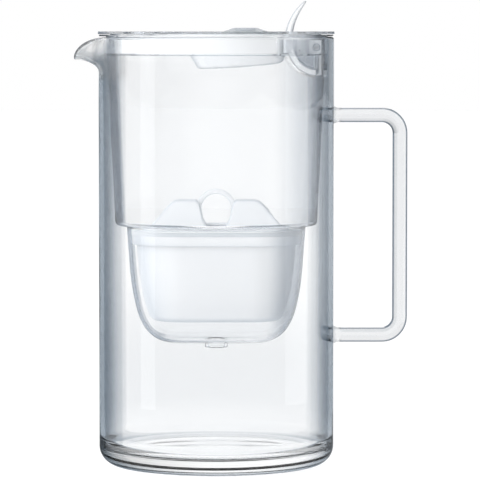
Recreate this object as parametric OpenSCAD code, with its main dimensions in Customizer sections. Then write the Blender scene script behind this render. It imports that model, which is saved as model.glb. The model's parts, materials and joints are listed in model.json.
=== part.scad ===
// Water filter pitcher with a flip lid.
// Glass jug with a pulled lip and a bar handle, a hanging hopper with an oval cartridge well,
// a filter cartridge, and a lid whose flap carries an indicator pod.
// Millimetres, +Z up, origin on the jug's axis at its base. The handle is at +X, the lip at -X.

/* [Glass jug] */
// Outer radius of the jug
jug_r = 71.6; // [70:0.1:73]
// Thickness of the glass wall
jug_wall = 2.8; // [2.4:0.1:3]
// Thickness of the glass floor
jug_floor = 10; // [6:0.5:14]
// Radius of the outer heel
heel_r = 11.5; // [8:0.5:14]
// Height of the glass rim
rim_z = 261.1; // [261:0.05:261.2]
// Half angle of the rim that the lip takes up
lip_half_angle = 25; // [20:1:30]
// How far the lip reaches past the wall
lip_reach = 15.1; // [10:0.1:18]
// How far the lip's edge dips below the rim
lip_drop = 11.4; // [8:0.1:14]
// Height where the lip starts to leave the wall
lip_start_z = 239.2; // [235:0.1:242]

/* [Handle] */
// Distance from the axis to the outer side of the grip
handle_x = 116.6; // [110:0.1:120]
// Thickness of the bar seen from the side
bar_thick = 9; // [8:0.1:10]
// Width of the bar seen from the handle's end
bar_wide = 12; // [10:0.5:14]
// Height of the upper arm's middle
handle_top_z = 213.5; // [200:0.5:220]
// Height of the lower arm's middle
handle_low_z = 79.2; // [70:0.5:90]
// Radius of the bend, to the bar's middle
handle_bend = 11; // [10:0.5:14]

/* [Hopper] */
// Outer radius of the tank under its flange
tank_top_r = 67; // [66.8:0.1:67.1]
// Outer radius of the tank at its floor
tank_low_r = 61.5; // [60:0.1:62]
// Height of the tank's underside
tank_z = 146.7; // [146:0.1:148]
// Wall of the tank
tank_wall = 1.5; // [1.2:0.1:1.6]
// Radius of the flange that hangs on the glass
flange_r = 71.3; // [70.8:0.1:71.4]
// Underside of the well
well_z = 74.4; // [72:0.1:76]
// Wall of the well
well_wall = 1.6; // [1.4:0.1:1.8]
// Half length of the straight run in the well and the cartridge
half_run = 20.5; // [18:0.5:22]

/* [Cartridge] */
// Underside of the cup
cup_z = 88.2; // [87:0.1:90]
// Top of the cup and underside of the collar
collar_z = 135.2; // [134:0.1:136]
// Top of the collar
collar_top_z = 144.4; // [143:0.1:145]
// Top of the cap's two humps
hump_z = 162.4; // [160:0.1:164]
// Inner radius of the pull ring
ring_hole_r = 9.15; // [8:0.05:10]
// Outer radius of the pull ring
ring_r = 12.1; // [11.5:0.1:13]
// Height of the pull ring's middle
ring_z = 156.4; // [155:0.1:158]

/* [Lid] */
// Radius of the lid's top plate
lid_r = 72; // [71:0.1:73]
// Outside of the lid's top plate
lid_z = 264.3; // [264:0.1:264.4]
// Thickness of the lid's top plate
lid_plate = 1.6; // [1.5:0.1:1.6]
// Outer radius of the skirt inside the tank
skirt_r = 64.5; // [63.5:0.1:64.6]
// Underside of the lid's frame
skirt_z = 249.9; // [248:0.1:251]
// Radius of the filling hole
hole_r = 38.6; // [36:0.1:40]
// Half width of the tail slot
slot_half = 17; // [16:0.5:18]

/* [Hinge] */
// Distance from the axis to the hinge pin
pin_x = 60.8; // [60.5:0.1:61]
// Height of the hinge pin
pin_z = 254.7; // [254.5:0.1:255]
// Radius of the hinge pin
pin_r = 1.5; // [1.2:0.1:1.6]
// Outer radius of the flap's drum
drum_r = 12.8; // [12:0.1:13]
// Inner radius of the pocket round the drum
pocket_r = 13.4; // [13.2:0.1:13.8]
// Outer radius of the pocket
pocket_outer_r = 16.9; // [15.5:0.1:17]

/* [Flap] */
// Radius of the flap's round plate
flap_r = 37.9; // [35:0.1:38]
// End of the flap's tail
tail_x = 49.8; // [49:0.1:50]
// Middle of the indicator along X
dome_x = 17.8; // [16:0.1:20]
// Radius of the indicator's bezel
dome_r = 13.2; // [12:0.1:14]
// Radius of the button
button_r = 5.8; // [5:0.1:6.5]

/* [Hidden] */
$fn = 96;

// Small sizes that several pieces share
big = 400;
play = 0.3;
jug_in_r = jug_r - jug_wall;
jug_mid_r = jug_r - jug_wall / 2;
lip_half = 1.25;
lip_root = 1.5;
flange_z = rim_z + play;
flange_top_z = flange_z + 1;
ring_low_z = 259.4;
tank_floor = 1.6;
seal_r = 1.1;
plate_z = lid_z - lid_plate;
arm_half = 7;
ear_gap = 0.5;
ear_thick = 2.5;
pod_top_z = plate_z - 0.8;
board_z = 255.9;
board_thick = 1.2;
post_r = 2.4;
post_at = [[0, 12.5], [0, -12.5], [33, 0]];

// Points on an arc, in degrees
function arc(cx, cy, r, a0, a1, n) =
    [for (i = [0:n]) let (a = a0 + (a1 - a0) * i / n) [cx + r * cos(a), cy + r * sin(a)]];

// Points on a cubic curve from p to s, steered by q and r
function curve(p, q, r, s, n) =
    [for (i = [0:n]) let (t = i / n, u = 1 - t) u * u * u * p + 3 * u * u * t * q + 3 * u * t * t * r + t * t * t * s];

function reversed(list) = [for (i = [len(list) - 1:-1:0]) list[i]];

function unit(v) = v / norm(v);

// The line of points moved to its left by d, so the inside of a wall follows its outside
function moved(pts, d) =
    [for (i = [0:len(pts) - 1])
        let (a = pts[max(i - 1, 0)], b = pts[min(i + 1, len(pts) - 1)], t = unit(b - a))
        pts[i] + d * [-t[1], t[0]]];

// A solid through rings of points, closed by a flat face at each end
module skin(rings) {
    n = len(rings[0]);
    m = len(rings);
    points = [for (ring = rings) for (p = ring) p];
    sides = [for (i = [0:m - 2]) for (j = [0:n - 1])
        let (a = i * n + j, b = i * n + (j + 1) % n)
        each [[a, b, b + n], [a, b + n, a + n]]];
    polyhedron(points, concat(sides, [[for (j = [n - 1:-1:0]) j], [for (j = [0:n - 1]) (m - 1) * n + j]]), 10);
}

// Turns a half profile round a stadium: two half turns joined by a straight run
module stadium_turn() {
    for (turn = [0, 180])
        rotate([0, 0, turn])
            translate([half_run, 0, 0])
                rotate([0, 0, -90])
                    rotate_extrude(angle = 180)
                        children();
    translate([-half_run, 0, 0])
        rotate([90, 0, 90])
            linear_extrude(2 * half_run) {
                children();
                mirror([1, 0, 0]) children();
            }
}

// A plate from y = -half to y = half whose outline is drawn in X and Z
module side_plate(half) {
    translate([0, half, 0])
        rotate([90, 0, 0])
            linear_extrude(2 * half)
                children();
}

// Two like plates between y = from and y = to, on both sides
module side_pair(from, to) {
    for (s = [1, -1])
        translate([0, (s * (from + to) + (to - from)) / 2, 0])
            rotate([90, 0, 0])
                linear_extrude(to - from)
                    children();
}

// Pulled lip. At each angle t grows from 0 at the lip's side to 90 degrees at its middle. The glass
// leaves the wall along a quarter ellipse, and its edge follows a second quarter ellipse, out and down.
function lip_t(phi) = let (s = max(0, 1 - abs(phi) / lip_half_angle)) 90 * s * s * (3 - 2 * s);
function lip_mid(phi, a) =
    let (t = lip_t(phi),
        top = rim_z - jug_wall / 2 - lip_drop * (1 - cos(t)),
        r = jug_mid_r + lip_reach * sin(t) * (1 - cos(a)),
        z = lip_start_z + (top - lip_start_z) * sin(a))
    [-r * cos(phi), -r * sin(phi), z];
function lip_normal(phi, a) =
    unit(cross(lip_mid(phi + 0.4, a) - lip_mid(phi - 0.4, a), lip_mid(phi, a + 1) - lip_mid(phi, a - 1)));
// A slice of the lip: its outside from the root up, its round edge, and its inside back down
function lip_section(phi) =
    let (steps = [for (i = [0:10]) 9 * i],
        edge = lip_mid(phi, 90),
        out = lip_normal(phi, 84),
        up = unit(edge - lip_mid(phi, 82)),
        sunk = [0, 0, -lip_root])
    concat(
        [lip_mid(phi, 0) + lip_half * lip_normal(phi, 0) + sunk],
        [for (a = steps) lip_mid(phi, a) + lip_half * lip_normal(phi, min(a, 84))],
        [for (b = [45, 90, 135]) edge + lip_half * (cos(b) * out + sin(b) * up)],
        [for (a = reversed(steps)) lip_mid(phi, a) - lip_half * lip_normal(phi, min(a, 84))],
        [lip_mid(phi, 0) - lip_half * lip_normal(phi, 0) + sunk]);

module glass_jug() {
    tip = jug_wall / 2;
    color("lightsteelblue", 0.35) {
        difference() {
            rotate_extrude()
                polygon(concat(
                    [[0, 0]],
                    arc(jug_r - heel_r, heel_r, heel_r, -90, 0, 10),
                    arc(jug_mid_r, rim_z - tip, tip, 0, 180, 8),
                    arc(jug_in_r - heel_r + jug_wall, jug_floor + heel_r - jug_wall, heel_r - jug_wall, 0, -90, 10),
                    [[0, jug_floor]]));
            // The wall gives way to the lip, whose root runs on a little inside the wall
            rotate([0, 0, 180 - lip_half_angle])
                rotate_extrude(angle = 2 * lip_half_angle)
                    translate([jug_in_r - 2, lip_start_z])
                        square([jug_wall + 4, 40]);
        }
        skin([for (i = [-16:16]) lip_section((lip_half_angle + lip_root) * i / 16)]);
    }
}

// Cross-section of the handle's bar: flat top and bottom, fully round sides
module bar_section() {
    side = (bar_wide - bar_thick) / 2;
    for (s = [-side, side])
        translate([0, s])
            circle(d = bar_thick);
    square([bar_thick, 2 * side], center = true);
}

module glass_handle() {
    grip_x = handle_x - bar_thick / 2;
    arm = grip_x - handle_bend - jug_r;
    // A little inside the wall's radius at the bar's middle, cut back to meet the wall face to face
    color("lightsteelblue", 0.35)
        difference() {
            union() {
                for (z = [handle_low_z, handle_top_z]) {
                    translate([jug_r - 2, 0, z])
                        rotate([0, 90, 0])
                            linear_extrude(arm + 2)
                                bar_section();
                    // Flare where the bar is fused to the wall
                    translate([jug_r - 1, 0, z])
                        rotate([0, 90, 0])
                            cylinder(h = 2.4, r1 = bar_wide / 2 + 1.2, r2 = bar_wide / 2 - 0.6);
                }
                translate([grip_x, 0, handle_low_z + handle_bend])
                    linear_extrude(handle_top_z - handle_low_z - 2 * handle_bend)
                        bar_section();
                for (end = [[handle_low_z + handle_bend, 0], [handle_top_z - handle_bend, 90]])
                    translate([grip_x - handle_bend, 0, end[0]])
                        rotate([90, 0, 0])
                            rotate([0, 0, end[1] - 90])
                                rotate_extrude(angle = 90)
                                    translate([handle_bend, 0])
                                        bar_section();
            }
            cylinder(h = big, r = jug_r);
        }
}

module hopper_tank() {
    slope = (tank_top_r - tank_low_r) / (flange_z - tank_z);
    low = 2;
    color("aliceblue", 0.35)
        difference() {
            rotate_extrude()
                polygon(concat(
                    [[0, tank_z]],
                    arc(tank_low_r - low, tank_z + low, low, -90, 0, 5),
                    [[tank_top_r - slope * (flange_z - ring_low_z), ring_low_z],
                        [tank_top_r + 1.3, ring_low_z],
                        [tank_top_r + 1.3, flange_z],
                        [flange_r, flange_z],
                        [flange_r, flange_top_z],
                        [tank_top_r - tank_wall, flange_top_z],
                        [tank_low_r - tank_wall, tank_z + tank_floor + 1],
                        [tank_low_r - tank_wall - 1, tank_z + tank_floor],
                        [0, tank_z + tank_floor]]));
            // Opening down into the well
            translate([0, 0, tank_z - 1])
                stadium_turn() square([well_r(tank_z) - well_wall, tank_floor + 2]);
            // The centring ring stops at the lip, so that water can pass, and opposite it, so that air can
            for (vent = [[180, lip_half_angle + 4], [0, 6]])
                rotate([0, 0, vent[0] - vent[1]])
                    rotate_extrude(angle = 2 * vent[1])
                        translate([tank_top_r + 0.05, ring_low_z - 1])
                            square([4, flange_z - ring_low_z + 1]);
        }
}

// Outside of the well from its bottom up: a flat middle, a round heel, then a side that grows steeper
well_side = concat(
    curve([6.5, well_z], [17, well_z + 1], [25.6, well_z + 6.5], [29.2, 99.6], 9),
    [[31.0, 108.5], [32.1, 118], [34.2, tank_z]]);
function well_r(z) = lookup(z, [for (p = well_side) [p[1], p[0]]]);

module cartridge_well() {
    inside = moved(well_side, well_wall);
    top = [well_r(tank_z) - well_wall, tank_z];
    color("aliceblue", 0.35)
        difference() {
            stadium_turn()
                polygon(concat(
                    [[0, well_z]],
                    well_side,
                    [top],
                    reversed([for (i = [1:len(inside) - 2]) inside[i]]),
                    [[0, well_z + well_wall]]));
            translate([0, 0, well_z - 1])
                cylinder(h = 6, r = 5.2);
        }
}

module drip_nozzle() {
    color("aliceblue", 0.35)
        difference() {
            translate([0, 0, well_z - 2.8])
                cylinder(h = 2.8, r = 6.9);
            translate([0, 0, well_z - 4])
                cylinder(h = 6, r = 5.2);
        }
}

// Outside of the cup from its floor up
cup_side = concat(arc(15.5, cup_z + 5.5, 5.5, -90, -12, 7), [[24.4, 103], [26.6, 118], [28.2, collar_z]]);
cup_wall = 1.4;
function cup_r(z) = lookup(z, [for (p = cup_side) [p[1], p[0]]]);

module cartridge_cup() {
    inside = moved(cup_side, cup_wall);
    color("whitesmoke") {
        difference() {
            stadium_turn()
                polygon(concat(
                    [[0, cup_z]],
                    cup_side,
                    [[cup_r(collar_z) - cup_wall, collar_z]],
                    reversed([for (i = [0:len(inside) - 2]) inside[i]]),
                    [[0, cup_z + cup_wall]]));
            // Outlet slots in the floor
            for (x = [-16:4:16])
                translate([x - 0.75, -9, cup_z - 1])
                    cube([1.5, 18, cup_wall + 2]);
        }
        // Feet that keep the floor off the well
        for (x = [-23.2, 23.2])
            translate([x, 0, cup_z - 1.2])
                cylinder(h = 1.2, r = 1.8);
    }
}

// Outline of the cap seen from the side: two humps with a valley between them for the pull ring
hump_slope = [[-40, 148.6], [-26.4, 161], [-23.6, hump_z]];
function valley_side() = [[-12.6, hump_z], [-10.6, 160.4], [-9.4, 156.6], [-8.4, 152.6], [-5.6, 149.2]];
function hump_outline(drop) =
    let (half = concat([[-44, collar_top_z - 0.2], [-44, 147 - drop]],
            moved(concat(hump_slope, valley_side()), -drop)))
    concat(half, [for (p = reversed(half)) [-p[0], p[1]]]);

// The same roof seen from the handle's end
function roof_outline(drop) =
    let (z = hump_z - drop, h = collar_top_z - 0.2)
    [[-20 + drop, h], [-18.5 + drop, h + 4], [-10 + drop, z], [10 - drop, z], [18.5 - drop, h + 4], [20 - drop, h]];

module cap_roof(drop) {
    intersection() {
        side_plate(40)
            polygon(hump_outline(drop));
        rotate([0, 0, 90])
            side_plate(60)
                polygon(roof_outline(drop));
    }
}

collar_r = well_r(collar_top_z) - well_wall - play;
module cartridge_cap() {
    wall = 1.5;
    shell = 2.2;
    color("white")
        difference() {
            union() {
                stadium_turn()
                    polygon([[cup_r(collar_z) - cup_wall, collar_z],
                        [well_r(collar_z) - well_wall - play, collar_z],
                        [collar_r, collar_top_z - seal_r * 2 - 1],
                        [collar_r - seal_r, collar_top_z - seal_r * 2 - 1],
                        [collar_r - seal_r, collar_top_z - 1],
                        [collar_r, collar_top_z - 1],
                        [collar_r, collar_top_z],
                        [0, collar_top_z],
                        [0, collar_top_z - wall],
                        [collar_r - shell - seal_r, collar_top_z - wall],
                        [collar_r - shell - seal_r, collar_z + wall],
                        [cup_r(collar_z) - cup_wall, collar_z + wall]]);
                cap_roof(0);
            }
            // Hollow under the humps
            cap_roof(wall);
            // Slot that the pull ring stands in
            pull_ring_blank();
            translate([-38, -16, collar_top_z - wall - 1])
                cube([76, 32, wall + 1.5]);
            // Inlet slots along both slopes
            for (s = [-1, 1])
                for (x = [28:3.4:38.2])
                    translate([s * x - 0.6, -9, collar_top_z - 3])
                        cube([1.2, 18, 16]);
        }
}

// Round plate that the pull ring is cut from, flat where it stands in the valley
module pull_ring_blank() {
    side_plate(2)
        intersection() {
            translate([0, ring_z])
                circle(r = ring_r);
            translate([-20, 149.2])
                square([40, 30]);
        }
}

module pull_ring() {
    color("white")
        difference() {
            pull_ring_blank();
            side_plate(3)
                intersection() {
                    translate([0, ring_z])
                        circle(r = ring_hole_r);
                    translate([-20, 150.6])
                        square([40, 20]);
                }
        }
}

module cartridge_seal() {
    out = collar_r - 0.02;
    color("gainsboro")
        stadium_turn()
            polygon([[collar_r - seal_r, collar_top_z - seal_r * 2 - 1],
                [out, collar_top_z - seal_r * 2 - 1],
                [out, collar_top_z - 1],
                [collar_r - seal_r, collar_top_z - 1]]);
}

module inlet_screen() {
    color("lightgrey")
        translate([0, 0, collar_z])
            stadium_turn() square([cup_r(collar_z) - cup_wall - 0.4, 1]);
}

module outlet_screen() {
    color("lightgrey")
        translate([0, 0, cup_z + cup_wall])
            stadium_turn() square([14, 0.8]);
}

module filter_media() {
    gap = 0.3;
    low = cup_z + cup_wall + 0.8;
    color("dimgrey")
        stadium_turn()
            polygon([[0, low], [13.6, low], [18.2, 94], [cup_r(103) - cup_wall - gap, 103],
                [cup_r(130) - cup_wall - gap, 130], [0, 130]]);
}

module slot_outline(narrow) {
    translate([0, -slot_half])
        square([56.5, 2 * slot_half]);
    if (narrow)
        translate([50, -arm_half - 0.6])
            square([16, 2 * arm_half + 1.2]);
}

module lid_top_plate() {
    color("aliceblue", 0.35)
        translate([0, 0, plate_z])
            linear_extrude(lid_plate)
                difference() {
                    circle(r = lid_r);
                    circle(r = hole_r);
                    slot_outline(true);
                    // Windows that the clips show through
                    for (a = [45:90:315])
                        rotate(a)
                            translate([61, 0])
                                square([3.2, 6], center = true);
                }
}

module lid_frame() {
    floor_t = 1.5;
    skirt_in = skirt_r - 1.5;
    funnel = 1.5;
    color("aliceblue", 0.35) {
        difference() {
            rotate_extrude()
                polygon([[hole_r - 3, skirt_z], [skirt_r, skirt_z], [skirt_r, plate_z],
                    [skirt_in, plate_z], [skirt_in, skirt_z + floor_t], [hole_r - 1.5, skirt_z + floor_t],
                    [hole_r, plate_z - 1.8], [hole_r + 1.8, plate_z - 1.8], [hole_r + 1.8, plate_z],
                    [hole_r + 0.3, plate_z], [hole_r + 0.3, plate_z - play],
                    [hole_r - funnel, plate_z - play]]);
            intersection() {
                translate([0, -slot_half - 1.5, skirt_z - 1])
                    cube([big, 2 * slot_half + 3, 40]);
                cylinder(h = big, r = skirt_in);
            }
            translate([55, -10.4, skirt_z - 1])
                cube([20, 20.8, 40]);
        }
        // Walls along the tail slot
        for (s = [1, -1])
            intersection() {
                translate([31, s * (slot_half + 0.75) - 0.75, skirt_z])
                    cube([40, 1.5, plate_z - skirt_z]);
                difference() {
                    cylinder(h = big, r = skirt_in);
                    translate([0, 0, -1])
                        cylinder(h = big, r = hole_r - 3);
                    translate([0, 0, skirt_z])
                        cylinder(h = plate_z - play - skirt_z, r1 = hole_r - 3, r2 = hole_r - funnel);
                    translate([0, 0, plate_z - play - 0.01])
                        cylinder(h = 10, r = hole_r + 0.3);
                }
            }
    }
}

module lid_clips() {
    wide = 5.4;
    color("gainsboro", 0.6)
        for (a = [45:90:315])
            rotate([0, 0, a])
                rotate([90, 0, 0])
                    translate([0, 0, -wide / 2])
                        linear_extrude(wide)
                            polygon([[59.8, skirt_z + 1.5], [62.2, skirt_z + 1.5], [62.2, lid_z - 0.7],
                                [61.6, lid_z - 0.2], [60.2, lid_z - 0.2], [59.8, lid_z - 0.7]]);
}

// Middle of the pin in X and Z
pin_at = [pin_x, pin_z];

module hinge_bracket() {
    low_z = 238.5;
    wall_x = 60.5;
    wall_t = 1.8;
    outer = arc(pin_x, pin_z, pocket_outer_r, 188, 266, 14);
    under = arc(pin_x, pin_z, pocket_outer_r, 180 + asin((pin_z - skirt_z) / pocket_outer_r), 266, 12);
    inner = arc(pin_x, pin_z, pocket_r, 262, 188, 12);
    color("gainsboro", 0.6) {
        intersection() {
            union() {
                // Round trough under the drum, with its upright back wall
                side_plate(slot_half)
                    polygon(concat(outer, [[wall_x + wall_t - 1, low_z], [wall_x + wall_t, low_z + 1],
                        [wall_x + wall_t, 250.7], [wall_x, 250.7], [wall_x, low_z + 4]], inner));
                side_pair(slot_half, slot_half + 1.5)
                    polygon(concat(under, [[wall_x + wall_t - 1, low_z], [wall_x + wall_t, low_z + 1],
                        [wall_x + wall_t, skirt_z]]));
            }
            cylinder(h = big, r = skirt_r - 1.6);
        }
        // Ears that carry the pin
        difference() {
            side_pair(arm_half + ear_gap, arm_half + ear_gap + ear_thick)
                polygon([[58, 250.7], [62.3, 250.7], [63.6, 252], [63.6, 259], [56.4, 259], [56.4, 252.3]]);
            side_plate(20)
                translate(pin_at)
                    circle(r = pin_r + 0.02);
        }
    }
}

module hinge_pin() {
    half = arm_half + ear_gap + ear_thick;
    color("silver")
        translate([pin_x, half, pin_z])
            rotate([90, 0, 0])
                cylinder(h = 2 * half, r = pin_r);
}

module flap_plate() {
    color("aliceblue", 0.5) {
        difference() {
            translate([0, 0, plate_z])
                linear_extrude(lid_plate) {
                    circle(r = flap_r);
                    translate([20, -slot_half + 0.6])
                        square([tail_x - 20, 2 * slot_half - 1.2]);
                }
            translate([dome_x, 0, plate_z - 1])
                cylinder(h = 5, r = button_r + 1.6);
        }
        // Posts that carry the circuit board
        difference() {
            for (p = post_at)
                translate([p[0], p[1], board_z + board_thick])
                    cylinder(h = plate_z - board_z - board_thick, r = post_r);
            for (p = post_at)
                translate([p[0], p[1], board_z])
                    cylinder(h = 5.4, r = 0.95);
        }
    }
}

module hinge_arms() {
    front = arc(pin_x, pin_z, drum_r, 262, 190, 14);
    drum_in = arc(pin_x, pin_z, drum_r - 1.6, 190, 262, 14);
    knuckle_r = 2.9;
    web = concat([[62, 257.2]], arc(pin_x, pin_z, knuckle_r, 30, -120, 10),
        [[59, pin_z - drum_r + 1.5]], front, [[44.2, 256.5], [43.4, plate_z], [tail_x - 0.3, plate_z]]);
    color("gainsboro", 0.6)
        difference() {
            union() {
                side_pair(arm_half - 2, arm_half)
                    polygon(web);
                // Drum that closes the slot while the flap is open
                side_plate(slot_half - 0.7)
                    polygon(concat(front, drum_in));
                side_plate(arm_half)
                    translate(pin_at)
                        circle(r = knuckle_r);
                // Plate that closes the neck
                side_plate(arm_half)
                    polygon([[tail_x - 0.3, plate_z], [47.2, plate_z], [60.6, 256.2], [62, 257.2]]);
            }
            side_plate(20)
                translate(pin_at)
                    circle(r = pin_r + 0.05);
            // Small hole beside the drum, for the moulding's locating pin
            side_plate(20)
                translate([50.6, 252.9])
                    circle(r = 0.85);
        }
}

module thumb_tab() {
    back = curve([42.1, lid_z], [44.3, 272.5], [47.2, 277.2], [53.6, 283.1], 8);
    face = curve([55.3, 282.3], [50.6, 276.3], [48, 270.4], [46.9, lid_z], 8);
    root = 13;
    color("gainsboro", 0.7)
        intersection() {
            side_plate(20)
                polygon(concat(back, [[54.5, 283.2]], face));
            // Narrower towards the tip, with round corners
            rotate([90, 0, 90])
                linear_extrude(big)
                    polygon(concat(
                        [[root, lid_z]],
                        curve([root - 0.4, 272], [root - 1, 279.5], [root - 3, 283.3], [0, 283.3], 6),
                        curve([0, 283.3], [3 - root, 283.3], [1 - root, 279.5], [0.4 - root, 272], 6),
                        [[-root, lid_z]]));
        }
}

// One ring of the pod: a round-ended oval from x0 to x1, whose height runs from z0 to z1 along X
function pod_ring(x0, x1, half, z0, z1) =
    [for (i = [0:47])
        let (a = i * 7.5, e = 2 / 2.2, u = sign(cos(a)) * pow(abs(cos(a)), e), v = sign(sin(a)) * pow(abs(sin(a)), e))
        [(x0 + x1) / 2 + (x1 - x0) / 2 * u, half * v, z0 + (z1 - z0) * (1 + u) / 2]];

module pod_shell() {
    wall = 1.6;
    color("gainsboro", 0.7)
        skin([
            pod_ring(-8.8, 31.5, 14, 241.5, 243.8),
            pod_ring(-10.9, 36.6, 16.4, 241.8, 244.5),
            pod_ring(-12, 40, 17.8, 243, 245.5),
            pod_ring(-13.2, 41.2, 18.4, 245, 247.2),
            pod_ring(-16.3, 42, 20, skirt_z, skirt_z),
            pod_ring(-16.3, 42, 20, pod_top_z, pod_top_z),
            pod_ring(wall - 16.3, 42 - wall, 20 - wall, pod_top_z, pod_top_z),
            pod_ring(wall - 16.3, 42 - wall, 20 - wall, skirt_z, skirt_z),
            pod_ring(wall - 12.6, 40.4 - wall, 18 - wall, 245.4, 247.2),
            pod_ring(wall - 10.4, 37 - wall, 16 - wall, 243.4, 246)]);
}

module pod_gasket() {
    color("dimgrey")
        translate([0, 0, pod_top_z])
            linear_extrude(plate_z - pod_top_z)
                difference() {
                    polygon([for (p = pod_ring(-16.1, 41.8, 19.8, 0, 0)) [p[0], p[1]]]);
                    polygon([for (p = pod_ring(-14.7, 40.4, 18.4, 0, 0)) [p[0], p[1]]]);
                }
}

module indicator_bezel() {
    color("gainsboro")
        translate([dome_x, 0, lid_z])
            rotate_extrude()
                polygon(concat(
                    [[button_r + 0.3, 0], [dome_r, 0]],
                    curve([dome_r, 0.35], [dome_r - 2.4, 1.5], [dome_r - 4.2, 2.1], [button_r + 1.2, 2.2], 6),
                    [[button_r + 0.3, 1.9]]));
}

module reset_button() {
    color("white")
        translate([dome_x, 0, 0])
            rotate_extrude()
                polygon(concat(
                    [[0, 259.4], [1.5, 259.4], [1.5, 262.9], [button_r + 1.1, 262.9], [button_r + 1.1, 264],
                        [button_r, 264]],
                    curve([button_r, 265.8], [button_r - 0.3, 266.2], [button_r - 0.9, 266.4], [0, 266.6], 5)));
}

module circuit_board() {
    color("seagreen")
        difference() {
            translate([0, 0, board_z])
                linear_extrude(board_thick) {
                    translate([15, 0])
                        circle(r = 15.6);
                    for (p = post_at)
                        translate(p)
                            circle(r = 3);
                    translate([-4, -13])
                        square([16, 26]);
                    translate([20, -7])
                        square([15, 14]);
                }
            for (p = post_at)
                translate([p[0], p[1], board_z - 1])
                    cylinder(h = 4, r = 1.1);
        }
}

module coin_cell() {
    color("silver")
        translate([14, 0, 251.3])
            cylinder(h = 3.2, r = 10);
}

module battery_clip() {
    color("gold")
        translate([0, 0, 249.9]) {
            // Strap under the cell with a leg up to the board on each side
            translate([3, -2.5, 0.9])
                cube([22, 5, 0.5]);
            for (x = [2.5, 25])
                translate([x, -2.5, 0.9])
                    cube([0.5, 5, board_z - 250.8]);
        }
}

module tact_switch() {
    top = board_z + board_thick;
    color("dimgrey")
        translate([dome_x, 0, top]) {
            translate([-2.2, -2.2, 0])
                cube([4.4, 4.4, 0.9]);
            cylinder(h = 1.3, r = 1.2);
        }
}

module status_led() {
    color("lightcyan")
        for (x = [7, 28.6])
            translate([x - 0.8, -0.6, board_z + board_thick])
                cube([1.6, 1.2, 0.8]);
}

module board_screws() {
    color("silver")
        for (p = post_at)
            translate([p[0], p[1], 0]) {
                translate([0, 0, board_z - 1.3])
                    cylinder(h = 1.3, r = 1.9);
                translate([0, 0, board_z - 0.1])
                    cylinder(h = 5, r = 0.9);
            }
}

glass_jug();
glass_handle();
hopper_tank();
cartridge_well();
drip_nozzle();
cartridge_cup();
cartridge_cap();
pull_ring();
cartridge_seal();
inlet_screen();
outlet_screen();
filter_media();
lid_top_plate();
lid_frame();
lid_clips();
hinge_bracket();
hinge_pin();
flap_plate();
hinge_arms();
thumb_tab();
pod_shell();
pod_gasket();
indicator_bezel();
reset_button();
circuit_board();
coin_cell();
battery_clip();
tact_switch();
status_led();
board_screws();
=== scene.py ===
"""Water filter pitcher with a flip lid: its looks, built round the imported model.

Sizes are in millimetres until a mesh is written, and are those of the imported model. +X is the
handle's side and -X the pouring lip's.
"""
import json
import math

import bmesh
import bpy
import numpy as np
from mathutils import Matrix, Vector


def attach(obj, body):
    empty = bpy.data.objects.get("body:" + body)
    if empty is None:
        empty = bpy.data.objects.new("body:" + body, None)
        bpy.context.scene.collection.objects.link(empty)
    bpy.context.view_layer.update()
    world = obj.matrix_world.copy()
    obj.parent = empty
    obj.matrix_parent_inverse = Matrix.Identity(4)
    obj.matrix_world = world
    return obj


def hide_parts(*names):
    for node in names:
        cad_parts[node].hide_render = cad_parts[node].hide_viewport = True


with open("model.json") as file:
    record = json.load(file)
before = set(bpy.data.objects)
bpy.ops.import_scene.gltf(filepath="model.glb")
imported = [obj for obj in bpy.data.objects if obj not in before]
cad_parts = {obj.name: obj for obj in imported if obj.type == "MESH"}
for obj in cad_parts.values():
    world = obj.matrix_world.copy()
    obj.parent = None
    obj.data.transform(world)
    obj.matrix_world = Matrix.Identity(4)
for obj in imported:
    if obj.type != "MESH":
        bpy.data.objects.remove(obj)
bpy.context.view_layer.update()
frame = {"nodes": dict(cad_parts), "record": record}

MM = 0.001
# Points nearer than this, in metres, are one point
MERGE = 2e-6

# Glass jug
JUG_R = 71.6
JUG_WALL = 2.8
JUG_FLOOR = 10
HEEL_R = 11.5
RIM_Z = 261.1
LIP_HALF_ANGLE = 25
LIP_REACH = 15.1
LIP_DROP = 11.4
LIP_START_Z = 239.2
PUNT_R = 50
PUNT_RISE = 1.2

# Handle
HANDLE_X = 116.6
BAR_THICK = 9
BAR_WIDE = 12
HANDLE_TOP_Z = 213.5
HANDLE_LOW_Z = 79.2
HANDLE_BEND = 11
WELD_GAP = 0.04

# Hopper with its well and nozzle
TANK_TOP_R = 67
TANK_LOW_R = 61.5
TANK_Z = 146.7
TANK_WALL = 1.5
TANK_FLOOR = 1.6
FLANGE_R = 71.3
FLANGE_Z = 261.4
RING_LOW_Z = 259.4
WELL_Z = 74.4
WELL_WALL = 1.6
NOZZLE_R = 6.9
BORE_R = 5.2
HALF_RUN = 20.5

# Cartridge
CUP_Z = 88.2
CUP_WALL = 1.4
COLLAR_Z = 135.2
COLLAR_TOP_Z = 144.4
HUMP_Z = 162.4
VALLEY_Z = 149.2
RING_HOLE_R = 9.15
RING_R = 12.1
RING_Z = 156.4
RING_HALF = 2

# Lid and flap
LID_R = 71.99
LID_Z = 264.3
PLATE = 1.6
PLATE_Z = LID_Z - PLATE
HOLE_R = 38.6
SLOT_HALF = 17
SKIRT_Z = 249.9
FLAP_R = 37.9
TAIL_X = 49.8
DOME_X = 17.8
DOME_R = 13.2
BUTTON_R = 5.8
POST_AT = [(0, 12.5), (0, -12.5), (33, 0)]
POST_LOW_Z = 257.1
POD_BACK = -16.3
POD_FRONT = 42
POD_HALF = 20
PIN_X = 60.8
PIN_Z = 254.7
TIP_Z = 283.2


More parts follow.
